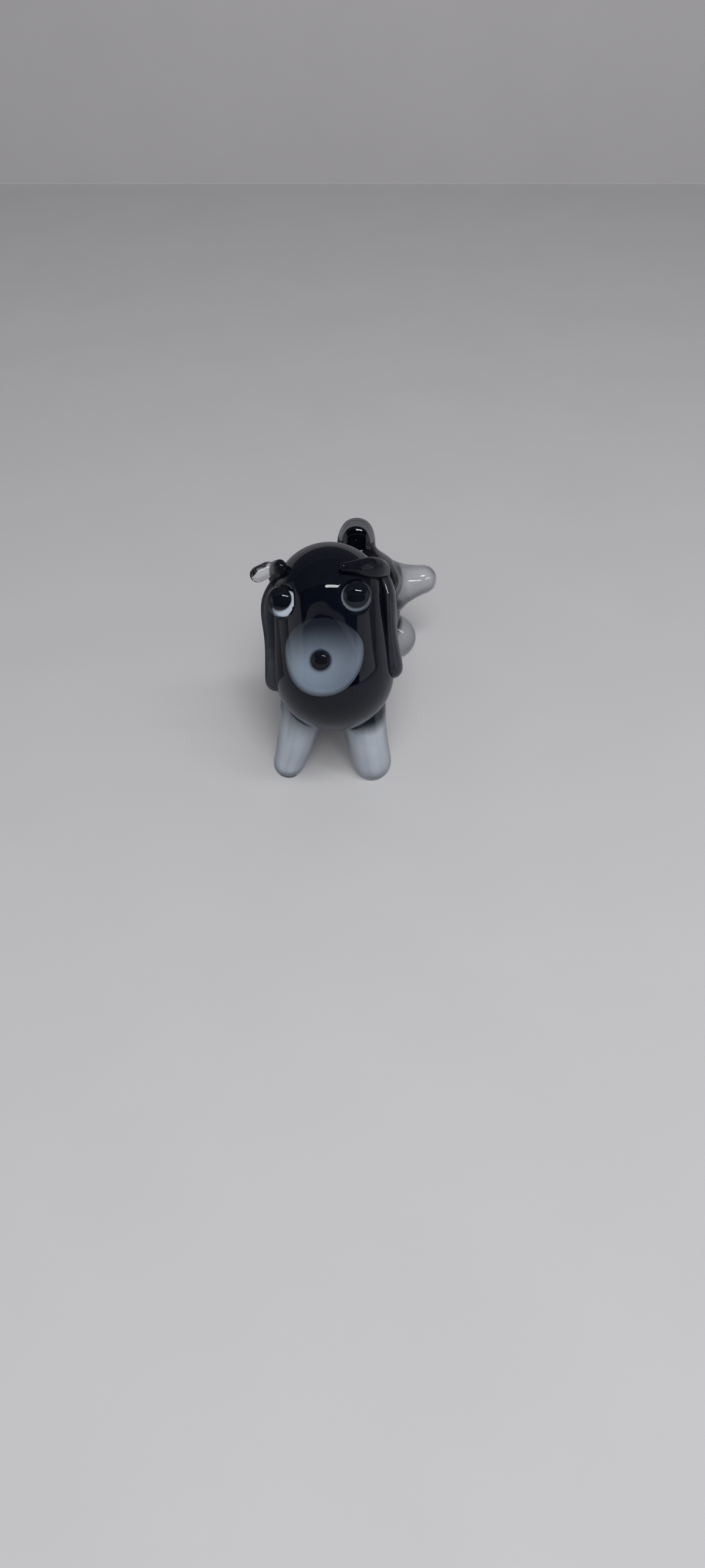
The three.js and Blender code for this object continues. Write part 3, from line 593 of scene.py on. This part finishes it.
# Body and tail. One long gather of black glass cased in clear runs from the neck to the rump, where the dog
# sits. The tail is a stub drawn up out of the rump: the black narrows to a rod in a clear round end.
REST_DEPTH = 0.2
NECK, CHEST, BACK = (-2.6, 6.5, 14.5), (-2.4, 9.5, 11.0), (-1.9, 17.0, 9.8)
RUMP_ACROSS, RUMP_BACK, RUMP_RADIUS = -1.1, 26.0, 7.8
BODY_RADII = [4.4, 5.4, 6.2, RUMP_RADIUS]
BODY_CORE_DEPTH = 0.6
RUMP = np.array([RUMP_ACROSS, RUMP_BACK, RUMP_RADIUS - REST_DEPTH])
TAIL_LEAN_BACK, TAIL_LEAN_LEFT, TAIL_ROOT_LEAN_LEFT = np.radians([17.5, 9.7, 18])
TAIL_REACH, TAIL_ROOT_REACH = 10.3, 4.5
TAIL_RADII = [6.9, 6.4, 5.1, 2.9, 2.55]
TAIL_CORE_RADII, TAIL_CORE_DROP = [6.4, 5.9, 4.4, 1.95, 1.6], 0.4
# Painted shade: the clear end is tinted dark grey, standing in for the dark that it refracts.
TAIL_SHADED_CLEAR = clear_glass("tail_shaded_clear_glass", dark=(0.19, 0.195, 0.215), light=(0.27, 0.275, 0.295), IOR=1.2,
                         Coat_Weight=1.0, Coat_Roughness=0.02)


def grounded(rings, level=0.0):
    """Rings with every point that would be under the ground's level ground off to it."""
    rings[..., 2] = np.maximum(rings[..., 2], level)
    return rings


def body_rings(grow):
    """The body's gather, ground flat where it rests."""
    rings = gather_rings([NECK, CHEST, BACK, RUMP], BODY_RADII, grow=grow, rows=120, dome_rows=30, columns=120)
    return grounded(rings, -grow)


def tail_rings(radii, end_drop=0.0):
    """The tail's gather, along a line from inside the rump to the middle of its round end."""
    def reached(left, reach):
        """The point at a distance from the rump's middle along a line that leans back and to the left."""
        line = np.array([math.tan(left), math.tan(TAIL_LEAN_BACK), 1])
        return RUMP + reach * line / np.linalg.norm(line)

    spine = [reached(TAIL_ROOT_LEAN_LEFT, TAIL_ROOT_REACH), reached(TAIL_LEAN_LEFT, TAIL_REACH - end_drop)]
    return gather_rings(spine, radii, columns=96, relax=30)


glass_piece("body_black", body_rings(-BODY_CORE_DEPTH), CASED_BLACK, "black_glass", ["body_core"])
glass_piece("body_clear", body_rings(0.0), CLEAR, "clear_glass", ["body_casing"])
glass_piece("tail_black", tail_rings(TAIL_CORE_RADII, TAIL_CORE_DROP), CASED_BLACK, "black_glass", ["tail_core"])
glass_piece("tail_clear", tail_rings(TAIL_RADII), TAIL_SHADED_CLEAR, "clear_glass", ["tail_casing"])

# Front legs. Each is a milky rod cased in clear and drawn down to a rounded foot, its upper end fused to the
# black chest. Painted into the milk: shade towards the foot, the chest's black seen through the upper end with
# the shade under the head, the same along the crease under the muzzle, and shade all over the dog's left leg.
LEG_CORE_DEPTH = 0.6
FRONT_FOOT_ACROSS = {"right": -8.0, "left": 2.4}
FRONT_FOOT_BACK = {"right": 0.2, "left": -0.1}
FRONT_RADII = {"right": [2.0, 2.6, 3.2], "left": [2.5, 2.75, 3.4]}
FRONT_ROOT_SPREAD, FRONT_ROOT_FORWARD, FRONT_ROOT_DROP = 3.15, 5.1, 1.0
KNEE_SHARE, KNEE_FORWARD = 0.42, 1.0
LEG_CLEAR = clear_glass("leg_clear_glass", wave=0.3, dark=(0.90, 0.93, 0.95), light=(0.97, 0.98, 0.99), IOR=1.3,
                        Coat_Weight=1.0, Coat_Roughness=0.02)
LEG_OPAL = opal_glass("leg_opal_glass", (0.28, 0.315, 0.37), (0.56, 0.595, 0.64), streak_scale=(9, 1.0))
# Painted shade: the milk darkens over the lowest FOOT_CAP of each foot, where it meets the shelf.
FOOT_PAINTED_SHADE, FOOT_CAP, FOOT_CAP_FADE = 0.35, 1.7, 0.8
# Painted in at each leg's upper end: the shade under the head and the chest's black seen through the milk.
ROOT_SHADE = {"right": 0.8, "left": 0.98}
ROOT_SHADE_START = {"right": 6.0, "left": 6.5}
ROOT_SHADE_LENGTH = {"right": 5.5, "left": 1.9}
# Painted shade all over a leg: the dog's left leg is made darker.
FRONT_PAINTED_SHADE = {"right": 0.0, "left": 0.1}
MUZZLE_MIDDLE = in_head([0, -MUZZLE_DROP, 0])
# Painted shade along the crease under the muzzle, where the chest's black is also seen through.
CREASE_SHADE, CREASE_REACH, CREASE_WIDTH = 0.9, 8.35, 0.4


def front_leg(name, grow):
    """A front leg, bowed forward a little at the knee, from its foot to its root inside the chest."""
    radius = FRONT_RADII[name][0]
    foot = np.array([FRONT_FOOT_ACROSS[name], FRONT_FOOT_BACK[name], radius - REST_DEPTH])
    root = np.array(CHEST) + [SIDE[name] * FRONT_ROOT_SPREAD, -FRONT_ROOT_FORWARD, -FRONT_ROOT_DROP]
    knee = foot + KNEE_SHARE * (root - foot) + [0, -KNEE_FORWARD, 0]
    return gather_rings([foot, knee, root], FRONT_RADII[name], grow=grow)


for name in SIDE:
    core = grounded(front_leg(name, -LEG_CORE_DEPTH), LEG_CORE_DEPTH)
    height = core[..., 2]
    from_muzzle = np.linalg.norm(core - MUZZLE_MIDDLE, axis=-1)
    shade = np.maximum.reduce([
        ROOT_SHADE[name] * smooth((height - ROOT_SHADE_START[name]) / ROOT_SHADE_LENGTH[name]),
        FOOT_PAINTED_SHADE * smooth((FOOT_CAP - height) / FOOT_CAP_FADE),
        CREASE_SHADE * smooth((CREASE_REACH - from_muzzle) / CREASE_WIDTH),
        np.full(height.shape, FRONT_PAINTED_SHADE[name])])
    glass_piece(f"front_leg_{name}_opal", core, LEG_OPAL, "opal_glass", [f"front_leg_core_{name}"], shade=shade)
    glass_piece(f"front_leg_{name}_clear", grounded(front_leg(name, 0)), LEG_CLEAR, "clear_glass",
                [f"front_leg_casing_{name}"])

# Hind legs. Both come out on the dog's left, because it sits over on one hip: the upper one flares at its
# root and stands off the ground, and the lower one is a short lobe that rests on it. Both are milky in clear,
# and the rump's black shows at the seam: a thin line above that widens below. Painted shade darkens their
# undersides.
UPPER_SWING, UPPER_TIP_RISE, UPPER_ROOT_RISE = np.radians([12, 17.5, 26])
UPPER_REACH, UPPER_ROOT_REACH = 11.5, 6.8
UPPER_RADII = [2.05, 2.75, 4.2]
LOWER_FOOT_ACROSS, LOWER_FOOT_BACK = 5.9, 26.2
LOWER_RADII = [3.1, 3.3]
LOWER_ROOT_SHARE = 0.55
HIND_OPAL = opal_glass("hind_leg_opal_glass", (0.57, 0.575, 0.61), (0.82, 0.83, 0.86), Transmission_Weight=0.7,
                       IOR=1.03, Subsurface_Weight=0.2)


def upper_leg(grow):
    """The upper hind leg, from its tip to its flared root inside the rump."""
    def reached(rise, reach):
        """The point at a distance from the rump's middle along a line that rises by an angle to the left."""
        level = math.cos(rise)
        return RUMP + reach * np.array([level * math.cos(UPPER_SWING), level * math.sin(UPPER_SWING), math.sin(rise)])

    spine = [reached(UPPER_TIP_RISE, UPPER_REACH), reached(UPPER_ROOT_RISE, UPPER_ROOT_REACH)]
    return gather_rings(spine, UPPER_RADII, grow=grow)


def lower_leg(grow):
    """The lower hind leg, from its foot on the ground to its root inside the rump."""
    foot = np.array([LOWER_FOOT_ACROSS, LOWER_FOOT_BACK, LOWER_RADII[0] - REST_DEPTH])
    root = foot + (1 - LOWER_ROOT_SHARE) * (RUMP - foot)
    return grounded(gather_rings([foot, root], LOWER_RADII, grow=grow), -grow)


SEAM_SHADE = 0.95
SEAM_WIDTH, SEAM_SPREAD = {"upper": 0.35, "lower": 0.8}, {"upper": 1.3, "lower": 0.0}
SEAM_SPREAD_TOP, SEAM_SPREAD_FALL = 11.5, 3.5
# Painted shade: the milk darkens below UNDERSIDE_TOP on each hind leg.
UNDERSIDE_PAINTED_SHADE, UNDERSIDE_FADE = 0.35, 2.4
UNDERSIDE_TOP = {"upper": 11.4, "lower": 2.2}

for name, leg_rings in (("upper", upper_leg), ("lower", lower_leg)):
    core = leg_rings(-LEG_CORE_DEPTH)
    height = core[..., 2]
    rump_gap = np.linalg.norm(core - RUMP, axis=-1) - RUMP_RADIUS
    seam = SEAM_WIDTH[name] + SEAM_SPREAD[name] * smooth((SEAM_SPREAD_TOP - height) / SEAM_SPREAD_FALL)
    shade = np.maximum(SEAM_SHADE * smooth(1 - rump_gap / seam),
                       UNDERSIDE_PAINTED_SHADE * smooth((UNDERSIDE_TOP[name] - height) / UNDERSIDE_FADE))
    glass_piece(f"hind_leg_{name}_opal", core, HIND_OPAL, "opal_glass", [f"hind_leg_core_{name}"], shade=shade)
    glass_piece(f"hind_leg_{name}_clear", leg_rings(0.0), LEG_CLEAR, "clear_glass", [f"hind_leg_casing_{name}"])

# Shelf, wall and lamps. A plain pale shelf, a hair under the ground flats so that no two faces share a plane,
# and a wall behind it. A large soft lamp hangs high in front, a ceiling strip shows on the forehead and a side
# strip on the hind legs' clear glass alone. The dark room round them is only mirrored in the glass, with a
# darker copy of the shelf as painted shade and a dark patch as the painted shadow beside the dog.
SHELF_HALF, SHELF_GAP, WALL_BACK, WALL_HEIGHT = 1500, 0.03, 259, 900
SHELF_COLOUR, WALL_COLOUR = (0.50, 0.50, 0.51), (0.46, 0.45, 0.46)


def plain_paint(name, colour, roughness=0.7, gloss=0.2, mottle=0.03, mottle_scale=60):
    """Matt paint whose colour goes a share `mottle` up and down in faint clouds, on Object coordinates."""
    material = bpy.data.materials.new(name)
    material.use_nodes = True
    tree = material.node_tree
    shader = tree.nodes["Principled BSDF"]
    shader.inputs["Roughness"].default_value = roughness
    shader.inputs["Specular IOR Level"].default_value = gloss
    place = tree.nodes.new("ShaderNodeTexCoord").outputs["Object"]
    clouds = noise(tree, place, mottle_scale, detail=6)
    dark, light = np.multiply(colour, 1 - mottle), np.multiply(colour, 1 + mottle)
    tree.links.new(blended(tree, clouds, dark, light), shader.inputs["Base Color"])
    return material


def flat_sheet(name, corners, material):
    """One flat quad through four corners in the dog's millimetres."""
    mesh = bpy.data.meshes.new(name)
    mesh.from_pydata(in_frame(corners).tolist(), [], [(0, 1, 2, 3)])
    mesh.materials.append(material)
    sheet = bpy.data.objects.new(name, mesh)
    bpy.context.scene.collection.objects.link(sheet)
    return sheet


def level_corners(left, right, front, back, height):
    """The corners of a level rectangle."""
    return [(left, front, height), (right, front, height), (right, back, height), (left, back, height)]


def upright_corners(left, right, back, low, high):
    """The corners of an upright rectangle that faces the camera."""
    return [(left, back, low), (right, back, low), (right, back, high), (left, back, high)]


shelf = flat_sheet("shelf", level_corners(-SHELF_HALF, SHELF_HALF, -SHELF_HALF, WALL_BACK, -SHELF_GAP),
                   plain_paint("shelf_paint", SHELF_COLOUR))
wall = flat_sheet("wall", upright_corners(-SHELF_HALF, SHELF_HALF, WALL_BACK, 0, WALL_HEIGHT),
                  plain_paint("wall_paint", WALL_COLOUR))

ROOM_LEFT, ROOM_RIGHT, ROOM_HEIGHT = -560, 600, 300
CEILING_EDGE, CEILING_BACK = -66, 250
DARK_ROOM = (0.012, 0.013, 0.017)


def only_mirrored(sheet):
    """Leaves a sheet to be seen in the glass's gloss and nowhere else."""
    sheet.visible_camera = False
    sheet.visible_shadow = False
    sheet.visible_diffuse = False
    sheet.visible_transmission = False


for name, colour, corners in (
        # A darker copy of the shelf, only mirrored: painted shade on the shelf as the glass mirrors it.
        ("shaded_shelf_mirrored", (0.33, 0.34, 0.375), level_corners(-1400, 1400, -419, 254, 0.05)),
        ("ceiling_front", DARK_ROOM,
         [(ROOM_LEFT, -212, ROOM_HEIGHT), (ROOM_RIGHT, -200, ROOM_HEIGHT),
          (ROOM_RIGHT, CEILING_EDGE, ROOM_HEIGHT), (ROOM_LEFT, CEILING_EDGE, ROOM_HEIGHT)]),
        ("ceiling_back", (0.22, 0.21, 0.23),
         level_corners(ROOM_LEFT, ROOM_RIGHT, CEILING_EDGE, CEILING_BACK, ROOM_HEIGHT)),
        ("room_front", DARK_ROOM,
         [(-700, -420, 0), (700, -420, 0), (ROOM_RIGHT, -225, ROOM_HEIGHT), (ROOM_LEFT, -225, ROOM_HEIGHT)]),
        ("room_back", (0.11, 0.11, 0.13), upright_corners(ROOM_LEFT, ROOM_RIGHT, 255, 95, ROOM_HEIGHT)),
        # A dark patch, only mirrored: the painted shadow of the dog on the shelf at its left.
        ("mirrored_shadow_patch", (0.12, 0.12, 0.14), level_corners(-60, -9, 14, 70, 0.3))):
    only_mirrored(flat_sheet(name, corners, plain_paint(f"{name}_paint", colour)))

ROOM_LIGHT_LEVEL, ROOM_LIGHT_ABOVE = (0.54, 0.54, 0.56), (0.10, 0.10, 0.115)
world = bpy.data.worlds.new("room")
world.use_nodes = True
sky = world.node_tree
direction = sky.nodes.new("ShaderNodeTexCoord")
parts = sky.nodes.new("ShaderNodeSeparateXYZ")
sky.links.new(direction.outputs["Generated"], parts.inputs["Vector"])
room_light = blended(sky, parts.outputs["Z"], ROOM_LIGHT_LEVEL, ROOM_LIGHT_ABOVE)
sky.links.new(room_light, sky.nodes["Background"].inputs["Color"])
bpy.context.scene.world = world


def lamp(name, place, target, size, power, glossy=True):
    """A rectangular area lamp at a place, turned to a target, both in the dog's millimetres. It is never seen
    through the glass, and with `glossy` off it isn't mirrored in it either."""
    light = bpy.data.lights.new(name, "AREA")
    light.shape = "RECTANGLE"
    light.size, light.size_y = size[0] * MM, size[1] * MM
    light.energy = power
    holder = bpy.data.objects.new(name, light)
    place, target = in_frame(place), in_frame(target)
    out = (place - target) / np.linalg.norm(place - target)
    side = np.cross([0, 0, 1], out)
    side /= np.linalg.norm(side)
    turn = np.eye(4)
    turn[:3, :3] = np.stack([side, np.cross(out, side), out], -1)
    turn[:3, 3] = place
    holder.matrix_world = Matrix(turn.tolist())
    holder.visible_glossy = glossy
    holder.visible_transmission = False
    bpy.context.scene.collection.objects.link(holder)
    return holder


lamp("soft_lamp", place=(30, -275, 415), target=(0, 10, 8), size=(240, 240), power=1.64, glossy=False)
lamp("ceiling_strip", place=(89, -85, 286), target=(89, -80, 0), size=(208, 30), power=0.26)
side_strip = lamp("side_strip", place=(313, -146, 204), target=(8, 26, 12), size=(190, 40), power=0.16)
lit = bpy.data.collections.new("lit_by_side_strip")
for name in ("hind_leg_upper_clear", "hind_leg_lower_clear"):
    lit.objects.link(bpy.data.objects[name])
side_strip.light_linking.receiver_collection = lit
